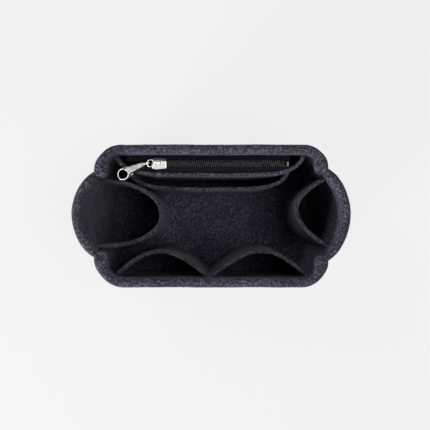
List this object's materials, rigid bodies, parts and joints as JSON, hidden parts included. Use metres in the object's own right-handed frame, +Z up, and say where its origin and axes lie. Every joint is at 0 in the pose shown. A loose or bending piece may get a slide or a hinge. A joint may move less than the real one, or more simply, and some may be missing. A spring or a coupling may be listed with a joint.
{
  "type": "purse organizer insert",
  "caption": "Open-topped felt organizer insert for a purse, with bulging side panels, sewn-in felt pockets and a zipped pocket along the back wall.",
  "frame": {"origin": "under the middle of the base, on the surface that it stands on", "axes": "+X along the length, +Y towards the back wall that carries the zipped pocket, +Z up"},
  "size_m": [0.219, 0.1124, 0.13],
  "materials": {
    "shell_felt": "thick charcoal melange felt, matt, with short loose fibres",
    "pocket_felt": "charcoal melange felt, matt, with raw cut edges",
    "zip_tape": "black woven polyester tape",
    "zip_coil": "black nylon coil with a soft sheen",
    "nickel": "polished nickel-plated zinc"
  },
  "bodies": {
    "organizer": {"base_panel": "shell_felt", "front_panel": "shell_felt", "back_panel": "shell_felt", "left_side_panel": "shell_felt", "right_side_panel": "shell_felt", "left_pocket_panel": "pocket_felt", "right_pocket_panel": "pocket_felt", "front_pocket_panel": "pocket_felt", "zip_pocket_panel": "pocket_felt", "slip_pocket_panel": "pocket_felt", "rear_zip_tape": "zip_tape", "front_zip_tape": "zip_tape", "rear_zip_coil": "zip_coil", "front_zip_coil": "zip_coil", "rear_top_stop": "nickel", "front_top_stop": "nickel", "bottom_stop": "nickel"},
    "slider": {"slider_body": "nickel", "slider_crown": "nickel"},
    "link": {"pull_link": "nickel"},
    "pull": {"pull_tab": "nickel"}
  },
  "joints": [
    {"name": "slider_travel", "type": "slide", "parent": "organizer", "child": "slider", "axis": [1, 0, 0], "range_m": [0, 0.096], "deforming": ["rear_zip_coil", "front_zip_coil"]},
    {"name": "link_flip", "type": "hinge", "parent": "slider", "child": "link", "pos_m": [-0.0459, 0.0426, 0.1168], "axis": [0, 1, 0], "range_deg": [0, 100]},
    {"name": "pull_swing", "type": "hinge", "parent": "link", "child": "pull", "pos_m": [-0.0515, 0.0426, 0.1168], "axis": [-0.4147, 0.91, 0], "range_deg": [0, 80]}
  ]
}
